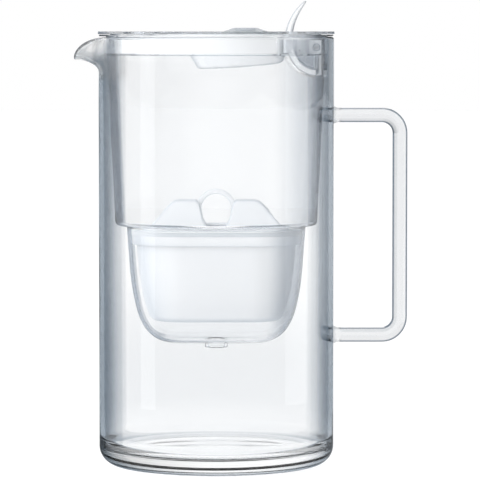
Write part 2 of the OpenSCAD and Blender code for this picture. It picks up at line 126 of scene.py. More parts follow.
def arc(x, z, r, start, end, steps):
    """Points on a circle of radius r round (x, z), from one angle to another in degrees."""
    a = np.radians(np.linspace(start, end, steps + 1))
    return np.stack([x + r * np.cos(a), z + r * np.sin(a)], axis=1)


def bezier(p, q, r, s, steps):
    """Points on the cubic curve from p to s that q and r steer."""
    t = np.linspace(0, 1, steps + 1)[:, None]
    p, q, r, s = (np.array(v, float) for v in (p, q, r, s))
    return (1 - t) ** 3 * p + 3 * (1 - t) ** 2 * t * q + 3 * (1 - t) * t**2 * r + t**3 * s


def line(p, q, steps):
    """Points on the straight line from p to q."""
    return np.linspace(np.array(p, float), np.array(q, float), steps + 1)


def softened(points, times=3):
    """A line of points with its corners cut: each step keeps the ends and puts two points a quarter
    of the way in from both ends of every stretch."""
    for _ in range(times):
        a, b = points[:-1], points[1:]
        cut = np.stack([0.75 * a + 0.25 * b, 0.25 * a + 0.75 * b], axis=1).reshape(-1, points.shape[1])
        points = np.concatenate([points[:1], cut, points[-1:]])
    return points


def moved(points, gap):
    """The line of points moved to its left by gap, along its own normals."""
    along = np.gradient(points, axis=0)
    along /= np.linalg.norm(along, axis=1, keepdims=True)
    return points + gap * np.stack([-along[:, 1], along[:, 0]], axis=1)


def step(x, low, high):
    """0 below low, 1 above high, and 3t^2 - 2t^3 between."""
    t = np.clip((x - low) / (high - low), 0, 1)
    return t * t * (3 - 2 * t)


def turned(profile, angles, centre=(0, 0)):
    """A profile of (radius, height) turned round an upright axis through centre."""
    r, z = profile[:, 0, None], profile[:, 1, None]
    x = centre[0] + r * np.cos(angles)
    y = centre[1] + r * np.sin(angles)
    return np.stack([x, y, z + 0 * x], axis=-1)


def oval(run, r, angles):
    """Polar radius of an oval with two half circles of radius r, whose middles lie run either side of
    the centre: r over the sine where a straight side is met, else the far crossing of the end circle."""
    s, c = np.abs(np.sin(angles)), np.abs(np.cos(angles))
    side = r / np.maximum(s, 1e-9)
    end = run * c + np.sqrt(np.maximum(r * r - (run * s) ** 2, 0))
    return np.where(side * c <= run, side, end)


def oval_rows(rows, angles):
    """A grid from rows of (run, radius, height), each an oval."""
    rows = np.array(rows, float)
    rho = oval(rows[:, 0, None], rows[:, 1, None], angles)
    x = rho * np.cos(angles)
    y = rho * np.sin(angles)
    return np.stack([x, y, rows[:, 2, None] + 0 * x], axis=-1)


def with_run(points, run=HALF_RUN):
    """Rows of (run, radius, height) from points of (radius, height)."""
    return [(run, r, z) for r, z in points]


def filled(run, r, z, steps=4):
    """Rows that shrink an oval to a point in its middle."""
    return [(run * k, r * k, z) for k in np.linspace(1, 0, steps + 1)[1:]]


FULL_TURN = np.linspace(0, 2 * math.pi, 193)[:-1]


def build(name, sheets, body, nodes, material, sharp=38):
    """One object from sheets of (grid of points, whether the rows close on themselves). The columns
    of a sheet always wrap round. Points that meet are merged and the faces turned outwards."""
    points, faces, start = [], [], 0
    for grid, closed in sheets:
        rows, cols = grid.shape[:2]
        i, j = np.meshgrid(np.arange(rows if closed else rows - 1), np.arange(cols), indexing="ij")
        i2, j2 = (i + 1) % rows, (j + 1) % cols
        quads = np.stack([i * cols + j, i * cols + j2, i2 * cols + j2, i2 * cols + j], axis=-1)
        points.append(grid.reshape(-1, 3))
        faces.append(quads.reshape(-1, 4) + start)
        start += rows * cols
    mesh = bpy.data.meshes.new(name)
    mesh.from_pydata((np.concatenate(points) * MM).tolist(), [], np.concatenate(faces).tolist())
    bm = bmesh.new()
    bm.from_mesh(mesh)
    bmesh.ops.remove_doubles(bm, verts=bm.verts, dist=MERGE)
    bmesh.ops.recalc_face_normals(bm, faces=bm.faces)
    bm.to_mesh(mesh)
    bm.free()
    mesh.polygons.foreach_set("use_smooth", np.ones(len(mesh.polygons), bool))
    mesh.set_sharp_from_angle(angle=math.radians(sharp))
    mesh.materials.append(material)
    obj = bpy.data.objects.new(name, mesh)
    bpy.context.scene.collection.objects.link(obj)
    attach(obj, body)
    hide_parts(*nodes)
    return obj


class Value:
    """An output of a material's nodes. Each sum, product or power of it adds one Math node."""

    def __init__(self, paint, out):
        self.paint = paint
        self.out = out

    def maths(self, operation, first, second):
        return self.paint.node("ShaderNodeMath", {"operation": operation}, {0: first, 1: second})

    def __add__(self, other):
        return self.maths("ADD", self, other)

    def __sub__(self, other):
        return self.maths("SUBTRACT", self, other)

    def __rsub__(self, other):
        return self.maths("SUBTRACT", other, self)

    def __mul__(self, other):
        return self.maths("MULTIPLY", self, other)

    def __truediv__(self, other):
        return self.maths("DIVIDE", self, other)

    def __pow__(self, other):
        return self.maths("POWER", self, other)

    def __abs__(self):
        return self.maths("ABSOLUTE", self, 0)

    def at_least(self, least):
        return self.maths("MAXIMUM", self, least)

    __radd__ = __add__
    __rmul__ = __mul__


class Paint:
    """The node tree of one material."""

    def __init__(self, tree):
        self.tree = tree
        tree.nodes.clear()

    def node(self, kind, settings=None, sockets=None, out=0):
        """A node of that kind, with its settings, then the values or links of its sockets."""
        made = self.tree.nodes.new(kind)
        for key, value in (settings or {}).items():
            setattr(made, key, value)
        for key, value in (sockets or {}).items():
            if isinstance(value, Value):
                self.tree.links.new(value.out, made.inputs[key])
            else:
                made.inputs[key].default_value = value
        return Value(self, made.outputs[out])

    def place(self):
        """The point on the piece, in metres."""
        return self.node("ShaderNodeTexCoord", out="Object")

    def axis(self, name):
        """One coordinate of that point, in metres."""
        return self.node("ShaderNodeSeparateXYZ", {}, {0: self.place()}, out=name)

    def stretched(self, x=1, y=1, z=1):
        """The point with its coordinates scaled."""
        return self.node("ShaderNodeMapping", {}, {"Vector": self.place(), "Scale": (x, y, z)})

    def noise(self, scale, detail=2, rough=0.5, at=None):
        sockets = {"Vector": at or self.place(), "Scale": scale, "Detail": detail, "Roughness": rough}
        return self.node("ShaderNodeTexNoise", {}, sockets)

    def cells(self, scale, feature="F1", out=0):
        return self.node("ShaderNodeTexVoronoi", {"feature": feature},
                         {"Vector": self.place(), "Scale": scale}, out=out)

    def blend(self, factor, first, second):
        """A colour between two colours."""
        return self.node("ShaderNodeMix", {"data_type": "RGBA"}, {0: factor, 6: first, 7: second}, out=2)

    def span(self, value, low, high, to_low=0.0, to_high=1.0, kind="SMOOTHSTEP"):
        """The value's place between low and high, eased, as a number between the last two."""
        sockets = {"Value": value, "From Min": low, "From Max": high, "To Min": to_low, "To Max": to_high}
        return self.node("ShaderNodeMapRange", {"interpolation_type": kind}, sockets)

    def facing(self):
        """0 where the surface is met head on, 1 where it is only grazed."""
        return self.node("ShaderNodeLayerWeight", {}, {"Blend": 0.5}, out="Facing")

    def steepness(self):
        """How far the surface leans from upright: 0 on a wall and 1 on a floor."""
        normal = self.node("ShaderNodeTexCoord", out="Normal")
        return abs(self.node("ShaderNodeSeparateXYZ", {}, {0: normal}, out="Z"))

    def from_pin(self):
        """How far the point is from the hinge pin's axis, in metres."""
        x, z = self.axis("X") - PIN_X * MM, self.axis("Z") - PIN_Z * MM
        return (x * x + z * z) ** 0.5

    def light(self, name):
        """What kind of ray meets the surface."""
        return self.node("ShaderNodeLightPath", out=name)

    def bump(self, height, strength, distance):
        return self.node("ShaderNodeBump", {},
                         {"Height": height, "Strength": strength, "Distance": distance})

    def mix(self, factor, first, second):
        return self.node("ShaderNodeMixShader", {}, {0: factor, 1: first, 2: second})

    def principled(self, **sockets):
        names = {key.replace("_", " "): value for key, value in sockets.items()}
        return self.node("ShaderNodeBsdfPrincipled", {}, names)

    def finish(self, surface, kind="ShaderNodeOutputMaterial"):
        out = self.tree.nodes.new(kind)
        self.tree.links.new(surface.out, out.inputs["Surface"])


def paint(name):
    """A new material and the Paint that fills it."""
    material = bpy.data.materials.new(name)
    material.use_nodes = True
    return material, Paint(material.node_tree)


def rgb(red, green, blue):
    return (red, green, blue, 1)


CLEAR = rgb(0.99, 0.992, 0.994)
PASSED = rgb(0.99, 0.993, 0.996)
PANE = rgb(0.986, 0.988, 0.99)
# Painted shade for see-through panes, towards the handle's side and the back
PANE_SHADE = rgb(0.885, 0.893, 0.901)
# Painted shade: the cool grey that clear plastic walls take on where they are grazed
GRAZING_SHADE_GREY = rgb(0.41, 0.46, 0.52)
GLASS_IOR = 1.47
PLASTIC_IOR = 1.46
PLASTIC_RIPPLE = (60, 0.5, 0.06)
RIPPLE_DEEP = 0.0006


def clear_material(name, edge, graze, ior, ripple, shade, haze=None, window=None):
    """Clear glass or plastic: it bends light, and its walls take on the edge's cool grey, a painted shade,
    where they are met at a grazing angle. Graze is where the painted shade starts, where it is a band,
    where it is full, the band's share, and how much of that is left on the handle's side. Ripple is the
    scale, the upright stretch and the strength of the surface's waves. Shade adds a little more painted
    shade by place, haze a share of white, and window a share that is seen straight through a thin wall,
    tinted with painted shade towards the handle's side and the back. Light that a solid piece scatters,
    or that a lamp sends, passes straight too."""
    starts, band_at, full_at, band_share, right_share = graze
    scale, upright, strength = ripple
    material, p = paint(name)
    waves = p.noise(scale, 1, 0.4, p.stretched(1, 1, upright))
    normal = p.bump(waves, strength, RIPPLE_DEEP)
    x, z = p.axis("X"), p.axis("Z")

    def bent(kind, colour):
        return p.node(kind, {}, {"Color": colour, "IOR": ior, "Roughness": 0, "Normal": normal})

    def straight(colour):
        return p.node("ShaderNodeBsdfTransparent", {}, {"Color": colour})

    clear = bent("ShaderNodeBsdfGlass", CLEAR)
    # A wall with a haze reflects more at its edges than a plain one
    dull_share = 0.3 if haze else 0.7
    dark = p.mix(dull_share, bent("ShaderNodeBsdfGlass", edge), bent("ShaderNodeBsdfRefraction", edge))
    # Painted shade: grazed walls, and the places that shade picks, mix in the edge's grey
    facing = p.facing()
    band = p.span(facing, starts, band_at) * band_share * p.span(x, -0.03, 0.03, 1, right_share)
    rise = p.span(facing, band_at, full_at) * (1 - band_share)
    upright_walls = p.span(p.steepness(), 0.9, 0.99, 1, 0)
    glass = p.mix((band + rise) * upright_walls + shade(p, x, z), clear, dark)
    if haze:
        cloud = p.principled(Base_Color=rgb(0.985, 0.99, 0.995), Roughness=0.25, IOR=PLASTIC_IOR)
        glass = p.mix(haze(p, x, z), glass, cloud)
    if window:
        # Painted shade: the see-through pane is tinted darker towards the handle's side and the back
        depth = p.span(x, 0.04, 0.066) * p.span(p.axis("Y"), -0.01, 0.01, 0.45, 1)
        glass = p.mix(window(p, x, z), glass, p.mix(depth, straight(PANE), straight(PANE_SHADE)))
    scattered = p.light("Diffuse Depth") + p.light("Is Shadow Ray")
    p.finish(p.mix(p.span(scattered, 0, 1, kind="LINEAR"), glass, straight(PASSED)))
    return material


def hinge_window(p, x, z):
    """The part of a wall that stands before the hinge and its pocket: all above the skirt's edge,
    and below it what is less than the pocket's radius from the pin."""
    far = (x - PIN_X * MM) ** 2 + (z - PIN_Z * MM) ** 2
    outside = p.span(z, 0.248, 0.2495, 1, 0) * p.span(far, 0.0172**2, 0.0186**2)
    height = (1 - outside) * p.span(z, 0.259, 0.2605, 1, 0)
    return p.span(x, 0.0345, 0.0385, 0, 0.97) * p.span(x, 0.0645, 0.0655, 1, 0) * height


def jug_glass():
    """The jug has painted shade, greyer between its floor and the cartridge, and its lip is thin and
    plain.
    """
    def shade(p, x, z):
        # Painted shade, greyest from 36 to 60 mm up and gone by 135 mm
        return p.span(z, 0.018, 0.036) * p.span(z, 0.06, 0.135, 0.068, 0)

    def window(p, x, z):
        lip = p.span(x, -0.062, -0.056, 1, 0) * p.span(x, -0.0745, -0.0725, 0.3, 0.45)
        return lip * p.span(z, 0.232, 0.24) + hinge_window(p, x, z)

    # Painted shade: the dark grey that the jug's grazed glass takes on
    return clear_material("jug_glass", rgb(0.34, 0.39, 0.44), (0.39, 0.43, 0.74, 0.28, 0.54), GLASS_IOR,
                          (26, 0.35, 0.12), shade, None, window)


def handle_glass():
    """The handle has painted shade, darker along its outlines and greyer on the side of the fingers: out
    is how far a point lies outside the bar's middle line, two arms, two bends and the grip."""
    bend_x = (HANDLE_X - BAR_THICK / 2 - HANDLE_BEND) * MM
    middle_z = (HANDLE_TOP_Z + HANDLE_LOW_Z) / 2 * MM
    half_straight = ((HANDLE_TOP_Z - HANDLE_LOW_Z) / 2 - HANDLE_BEND) * MM

    def shade(p, x, z):
        beside = (x - bend_x).at_least(0)
        above = (abs(z - middle_z) - half_straight).at_least(0)
        out = (beside * beside + above * above) ** 0.5 - HANDLE_BEND * MM
        # Painted shade, greyer inside the bar's middle line on the side of the fingers
        return p.span(out, -0.0026, -0.0014, 0.26, 0.11)

    def root(p, x, z):
        return p.span(x, 0.0745, 0.077, 0.8, 0)

    # Painted shade: the dark grey along the handle's grazed outlines
    return clear_material("handle_glass", rgb(0.22, 0.26, 0.31), (0.3, 0.42, 0.52, 0.5, 1), GLASS_IOR,
                          (26, 0.35, 0.05), shade, None, root)


def clear_plastic():
    """Painted shade greys the tank and its well towards the handle, and its thin wall hides nothing of the
    hinge.
    """
    def shade(p, x, z):
        # Painted shade: the tank greyer towards the handle above its floor, and the well's wall below it
        tank = p.span(z, 0.144, 0.148)
        return p.span(x, 0.034, 0.064, 0, 0.28) * tank + p.span(x, 0.03, 0.046, 0, 0.3) * (1 - tank)

    return clear_material("clear_plastic", GRAZING_SHADE_GREY, (0.60, 0.64, 0.8, 0.8, 0.19), PLASTIC_IOR,
                          PLASTIC_RIPPLE, shade, None, hinge_window)


def flap_plastic():
    """The flap is clear, with a white print on the oval that the bowl under it covers: fourth powers
    of the shares of its half width and half length add up to less than 1."""
    half_wide, half_long = 19.6, 28.8
    middle_x = (POD_BACK + POD_FRONT) / 2

    def shade(p, x, z):
        # Painted shade: a little edge grey on all that lies below the middle of the plate's edge
        return p.span(z, 0.2632, 0.2633, 1, 0) * 0.06

    def haze(p, x, z):
        across = p.axis("Y") / (half_wide * MM)
        along = (x - middle_x * MM) / (half_long * MM)
        return p.span(across**4 + along**4, 0.9, 1, 0.85, 0)

    return clear_material("flap_plastic", GRAZING_SHADE_GREY, (0.60, 0.64, 0.84, 0.5, 1), PLASTIC_IOR,
                          PLASTIC_RIPPLE, shade, haze)


def lid_plastic():
    """The lid has a slight haze in its skirt, and painted shade: a grey edge to its plate, a line of edge
    grey along its corners that grows towards its ends, and a grey foot to its skirt."""
    def shade(p, x, z):
        # Painted shade: grey lines along the corners and edges of the upright walls
        top_corner = p.span(z, 0.26395, 0.26405)
        low_corner = p.span(z, 0.2632, 0.2633, 1, 0) * p.span(z, 0.2626, 0.2627)
        at_ends = p.span(abs(x), 0.05, 0.071, 0.04, 0.32)
        plate_edge = p.span(z, 0.2626, 0.2628) * 0.2
        skirt_foot = p.span(z, 0.2504, 0.2505, 1, 0) * 0.4
        walls = p.span(p.steepness(), 0.5, 0.9, 1, 0)
        return ((top_corner + low_corner) * at_ends + skirt_foot + plate_edge) * walls

    def haze(p, x, z):
        skirt = p.span(z, 0.2505, 0.2515) * p.span(z, 0.261, 0.262, 0.6, 0)
        return skirt * p.span(x, 0.036, 0.042, 1, 0)

    def window(p, x, z):
        plate = p.span(z, 0.2605, 0.2615, 0, 0.1)
        return hinge_window(p, x, z) * p.span(z, 0.2506, 0.2509) + plate

    return clear_material("lid_plastic", GRAZING_SHADE_GREY, (0.60, 0.64, 0.84, 0.5, 0.15), PLASTIC_IOR,
                          PLASTIC_RIPPLE, shade, haze, window)


def satin_white():
    """The cartridge's moulded white: a fine spark-eroded grain, slight clouding, and painted shade where
    grazed.
    """
    material, p = paint("cartridge_white")
    cloud = p.noise(22, 3, 0.55)
    pale = p.blend(cloud, rgb(0.905, 0.915, 0.93), rgb(0.93, 0.94, 0.95))
    # Painted shade: greyer where the surface is grazed
    colour = p.blend(p.span(p.facing(), 0.05, 0.5, kind="LINEAR"), pale, rgb(0.66, 0.70, 0.75))
    grain = p.noise(2600, 2, 0.6)
    p.finish(p.principled(
        Base_Color=colour, Roughness=p.span(cloud, 0.3, 0.7, 0.3, 0.38), IOR=1.49,
        Subsurface_Weight=0.25, Subsurface_Scale=0.004, Subsurface_Radius=(1, 1, 1),
        Normal=p.bump(grain, 0.12, 0.0001)))
    return material


def milky_plastic(name, low, high, edge, body, solid=None, lines=()):
    """Half clear milky plastic, with painted shade where it is grazed and along round lines about the
    hinge pin.
    Body is the share that isn't see-through, and solid may give it by place."""
    material, p = paint(name)
    cloud = p.noise(30, 3, 0.5)
    inner = p.blend(cloud, low, high)
    # Painted shade: dark lines in the edge colour round the hinge pin
    for radius in lines:
        inner = p.blend(p.span(abs(p.from_pin() - radius), 0.0001, 0.0004, 1, 0), inner, edge)
    grain = p.noise(1800, 2, 0.5)
    # Painted shade: the edge colour where the surface is grazed
    surface = p.principled(
        Base_Color=p.blend(p.span(p.facing(), 0.35, 0.9), inner, edge),
        Roughness=p.span(cloud, 0.3, 0.7, 0.26, 0.34), IOR=1.47, Normal=p.bump(grain, 0.06, 0.0001))
    see = p.node("ShaderNodeBsdfTransparent", {}, {"Color": rgb(0.93, 0.945, 0.96)})
    p.finish(p.mix(solid(p) if solid else body, see, surface))
    return material


def pocket_cheeks(p):
    """The pocket's round wall and the ears are milky, and the two cheeks that close it are clear."""
    wall = p.span(p.from_pin(), 0.0133, 0.0135)
    ear = p.span(abs(p.axis("Y")), 0.0102, 0.0104, 1, 0)
    return p.span(wall + ear, 0, 1, 0.1, 0.85)


def plain_moulding(name, low, high, rough, grain_size, grain=0.1):
    """Opaque moulded plastic or rubber with clouded colour and a fine grain."""
    material, p = paint(name)
    cloud = p.noise(40, 3, 0.55)
    p.finish(p.principled(
        Base_Color=p.blend(cloud, low, high),
        Roughness=p.span(cloud, 0.3, 0.7, rough - 0.05, rough + 0.05),
        Normal=p.bump(p.noise(grain_size, 2, 0.5), grain, 0.0001)))
    return material


def woven_mesh():
    """Fine screen: two sets of threads that cross."""
    material, p = paint("filter_mesh")
    thread_apart = 0.0008
    pitch = 2 * math.pi / thread_apart
    across = p.node("ShaderNodeMath", {"operation": "SINE"}, {0: p.axis("X") * pitch})
    along = p.node("ShaderNodeMath", {"operation": "SINE"}, {0: p.axis("Y") * pitch})
    threads = p.span(across * along, -0.9, 0.9)
    p.finish(p.principled(
        Base_Color=p.blend(threads, rgb(0.55, 0.57, 0.60), rgb(0.84, 0.86, 0.88)), Roughness=0.6,
        Normal=p.bump(threads, 0.5, 0.0002)))
    return material


def granules():
    """Black carbon grains with pale resin beads among them."""
    material, p = paint("granules")
    kind = p.cells(900, out="Color")
    pale = p.node("ShaderNodeSeparateColor", {}, {0: kind}, out="Red")
    rim = p.cells(900, "DISTANCE_TO_EDGE")
    colour = p.blend(p.span(pale, 0.45, 0.5), rgb(0.05, 0.05, 0.055), rgb(0.55, 0.50, 0.38))
    p.finish(p.principled(
        Base_Color=colour, Roughness=p.span(pale, 0, 1, 0.5, 0.8),
        Normal=p.bump(p.span(rim, 0, 0.3), 0.8, 0.0005)))
    return material


def bare_metal(name, low, high, rough, stretch):
    """Drawn or pressed metal with fine lines along one way."""
    material, p = paint(name)
    lines = p.noise(900, 3, 0.6, p.stretched(*stretch))
    p.finish(p.principled(
        Base_Color=p.blend(lines, low, high), Metallic=1.0,
        Roughness=p.span(lines, 0.2, 0.8, rough - 0.08, rough + 0.1),
        Normal=p.bump(lines, 0.1, 0.00005)))
    return material


def circuit_green():
    """Solder resist over copper lines, with tinned pads."""
    material, p = paint("board_green")
    line_x = p.node("ShaderNodeMath", {"operation": "PINGPONG"}, {0: p.axis("Y"), 1: 0.0012})
    line_y = p.node("ShaderNodeMath", {"operation": "PINGPONG"}, {0: p.axis("X"), 1: 0.0017})
    track = p.span(line_x, 0.0009, 0.00095) * p.span(p.noise(160, 0), 0.5, 0.52)
    pad = p.span(line_y, 0.0014, 0.00145) * p.span(line_x, 0.0008, 0.00085)
    copper = p.blend(track, rgb(0.02, 0.13, 0.07), rgb(0.06, 0.27, 0.15))
    p.finish(p.principled(
        Base_Color=p.blend(pad, copper, rgb(0.72, 0.72, 0.70)), Roughness=0.35,
        Metallic=p.span(pad, 0, 1), Normal=p.bump(track, 0.4, 0.00008)))
    return material


MATERIALS = {
    "jug_glass": jug_glass(),
    "clear_plastic": clear_plastic(),
    "cartridge_white": satin_white(),
    "soft_seal": plain_moulding("soft_seal", rgb(0.60, 0.63, 0.66), rgb(0.70, 0.73, 0.76),
                                0.6, 1500),
    "filter_mesh": woven_mesh(),
    "granules": granules(),
    "milky_plastic": milky_plastic("milky_plastic", rgb(0.93, 0.945, 0.96), rgb(0.965, 0.975, 0.985),
                                   rgb(0.50, 0.54, 0.59), 0.92),
    "bezel_plastic": milky_plastic("bezel_plastic", rgb(0.74, 0.77, 0.81), rgb(0.79, 0.82, 0.86),
                                   rgb(0.30, 0.33, 0.37), 0.9),
    "pin_steel": bare_metal("pin_steel", rgb(0.50, 0.52, 0.54), rgb(0.66, 0.68, 0.70),
                            0.28, (1, 0.05, 1)),
    "board_green": circuit_green(),
    "clip_brass": bare_metal("clip_brass", rgb(0.62, 0.46, 0.20), rgb(0.78, 0.62, 0.32),
                             0.3, (0.05, 1, 1)),
    "switch_black": plain_moulding("switch_black", rgb(0.03, 0.03, 0.035), rgb(0.06, 0.06, 0.065),
                                   0.5, 2500),
    "led_lens": plain_moulding("led_lens", rgb(0.80, 0.88, 0.86), rgb(0.88, 0.94, 0.92),
                               0.15, 900, 0.02),
}


# Finishes of single nodes whose slot has more than one look
OWN_LOOK = {
    "glass_handle": handle_glass(),
    "lid_top_plate": lid_plastic(),
    "flap_plate": flap_plastic(),
    "hinge_bracket": milky_plastic("pocket_plastic", rgb(0.91, 0.925, 0.94), rgb(0.95, 0.96, 0.97),
                                   rgb(0.36, 0.39, 0.43), 0.85, pocket_cheeks, (0.0021, 0.0135, 0.0168)),
    "hinge_arms": milky_plastic("arm_plastic", rgb(0.80, 0.825, 0.86), rgb(0.86, 0.88, 0.91),
                                rgb(0.30, 0.33, 0.37), 0.7, None, (0.0125, 0.0027)),
    "hinge_pin": bare_metal("pin_bright", rgb(0.80, 0.81, 0.83), rgb(0.88, 0.89, 0.90),
                            0.35, (1, 0.05, 1)),
    "lid_clips": milky_plastic("clip_plastic", rgb(0.74, 0.765, 0.80), rgb(0.80, 0.82, 0.85),
                               rgb(0.28, 0.31, 0.35), 0.75),
    "indicator_bezel": milky_plastic("dome_plastic", rgb(0.84, 0.87, 0.90), rgb(0.89, 0.91, 0.94),
                                     rgb(0.40, 0.44, 0.49), 0.45),
}
OWN_LOOK["lid_frame"] = OWN_LOOK["lid_top_plate"]


def make(name, sheets, body, slot, *nodes, sharp=38):
    nodes = nodes or (name,)
    return build(name, sheets, body, nodes, OWN_LOOK.get(nodes[0], MATERIALS[slot]), sharp)


def lip_middle(phi, a):
    """Middle of the glass at angle phi from the lip, both in degrees. t grows from 0 at the lip's side
    to 90 degrees at its middle; the glass leaves the wall along a quarter ellipse over a."""
    s = np.clip(1 - np.abs(phi) / LIP_HALF_ANGLE, 0, 1)
    t = math.pi / 2 * s * s * (3 - 2 * s)
    top = RIM_Z - JUG_WALL / 2 - LIP_DROP * (1 - np.cos(t))
    r = JUG_R - JUG_WALL / 2 + LIP_REACH * np.sin(t) * (1 - np.cos(np.radians(a)))
    z = LIP_START_Z + (top - LIP_START_Z) * np.sin(np.radians(a))
    turn = np.radians(phi)
    return np.stack([-r * np.cos(turn), -r * np.sin(turn), z], axis=-1)


def unit(v):
    return v / np.linalg.norm(v, axis=-1, keepdims=True)


def lip_normal(phi, a):
    """The glass's normal: the cross product of small steps round the lip and up it."""
    round_it = lip_middle(phi + 0.3, a) - lip_middle(phi - 0.3, a)
    up_it = lip_middle(phi, a + 0.5) - lip_middle(phi, a - 0.5)
    return unit(np.cross(round_it, up_it))


def jug():
    """The jug as one closed surface: the outer wall turned round the axis, the lip's quarter ellipses,
    a round edge, and the same back down inside to the floor."""
    side = LIP_HALF_ANGLE + 1.5
    near = np.linspace(-side, side, 81)[:-1]
    far = np.linspace(side, 360 - side, 169)[:-1]
    phi = np.concatenate([near, far])
    turn = np.radians(phi) + math.pi
    wrapped = np.where(phi > 180, phi - 360, phi)
    half = JUG_WALL / 2 - 0.15 * step(1 - np.abs(wrapped) / LIP_HALF_ANGLE, 0, 1)[:, None]
    outer_r = np.linspace(0, JUG_R - HEEL_R, 15)
    punt = PUNT_RISE * (1 - np.clip(outer_r / PUNT_R, 0, 1) ** 2) ** 2
    outside = np.concatenate([
        np.stack([outer_r, punt], axis=1),
        arc(JUG_R - HEEL_R, HEEL_R, HEEL_R, -90, 0, 20)[1:],
        line((JUG_R, HEEL_R), (JUG_R, LIP_START_Z), 14)[1:-1]])
    inner_heel = HEEL_R - JUG_WALL
    inside = np.concatenate([
        line((JUG_R - JUG_WALL, LIP_START_Z), (JUG_R - JUG_WALL, JUG_FLOOR + inner_heel), 14)[1:-1],
        arc(JUG_R - HEEL_R, JUG_FLOOR + inner_heel, inner_heel, 0, -90, 16),
        line((JUG_R - HEEL_R, JUG_FLOOR), (0, JUG_FLOOR), 10)[1:]])
    steps = np.linspace(0, 90, 22)
    # Past this angle the quarter ellipse turns over, so the normal is held
    last = 84
    outer_lip = [lip_middle(wrapped, a) + half * lip_normal(wrapped, min(a, last)) for a in steps]
    inner_lip = [lip_middle(wrapped, a) - half * lip_normal(wrapped, min(a, last)) for a in steps[::-1]]
    edge = lip_middle(wrapped, 90)
    out = lip_normal(wrapped, last)
    up = unit(edge - lip_middle(wrapped, last - 2))
    round_edge = np.radians([22, 45, 68, 90, 112, 135, 158])
    rim = [edge + half * (math.cos(b) * out + math.sin(b) * up) for b in round_edge]
    rows = np.concatenate([turned(outside, turn), outer_lip, rim, inner_lip, turned(inside, turn)])
    return make("glass_jug_clear", [(rows, False)], "jug", "jug_glass", "glass_jug")


def handle():
    """A bar with flat top and bottom and round sides, carried along two arms, two quarter bends and the
    grip. Near the wall the section swells by a bell curve, and its ends lie on the jug's own round."""
    grip_x = HANDLE_X - BAR_THICK / 2
    bend_x = grip_x - HANDLE_BEND
    low, top = HANDLE_LOW_Z + HANDLE_BEND, HANDLE_TOP_Z - HANDLE_BEND
    arm = JUG_R + (bend_x - JUG_R) * np.linspace(0, 1, 26)[:-1] ** 1.8
    bends = np.radians(np.linspace(-90, 0, 17))
    grip = np.linspace(low, top, 24)[1:-1]
    x = np.concatenate([arm, bend_x + HANDLE_BEND * np.cos(bends), 0 * grip + grip_x,
                        bend_x + HANDLE_BEND * np.cos(bends[::-1]), arm[::-1]])
    z = np.concatenate([0 * arm + HANDLE_LOW_Z, low + HANDLE_BEND * np.sin(bends), grip,
                        top - HANDLE_BEND * np.sin(bends[::-1]), 0 * arm + HANDLE_TOP_Z])
    lean = np.concatenate([0 * arm - math.pi / 2, bends, 0 * grip, -bends[::-1], 0 * arm + math.pi / 2])
    around = np.linspace(0, 2 * math.pi, 65)[:-1]
    flat = (BAR_WIDE - BAR_THICK) / 2
    swell = 0.8 * np.exp(-(((x - JUG_R) / 1.3) ** 2))[:, None]
    n = (BAR_THICK / 2 + swell) * np.sin(around)
    y = (BAR_THICK / 2 + swell) * np.cos(around) + flat * np.clip(3 * np.cos(around), -1, 1)
    px = x[:, None] + n * np.cos(lean)[:, None]
    pz = z[:, None] + n * np.sin(lean)[:, None]
    wall = np.sqrt((JUG_R + WELD_GAP) ** 2 - y**2)
    near = 1 - step(x, JUG_R, JUG_R + 8)[:, None]
    px = np.where(x[:, None] < bend_x, px + (wall - JUG_R) * near, px)
    rows = np.stack([px, y, pz], axis=-1)
    caps = []
    for end in (rows[0], rows[-1]):
        middle = np.array([0, 0, end[:, 2].mean()])
        rings = []
        for k in (0.7, 0.35, 0):
            ring = middle + (end - middle) * [1, k, k]
            ring[:, 0] = np.sqrt((JUG_R + WELD_GAP) ** 2 - ring[:, 1] ** 2)
            rings.append(ring)
        caps.append(rings)
    rows = np.concatenate([caps[0][::-1], rows, caps[1]])
    return make("glass_handle_clear", [(rows, False)], "jug", "jug_glass", "glass_handle")


WELL_SIDE = softened(np.concatenate([
    bezier((6.5, WELL_Z), (17, WELL_Z + 1), (25.6, WELL_Z + 6.5), (29.2, 99.6), 12),
    [(31.0, 108.5), (32.1, 118), (34.2, TANK_Z)]]), 2)


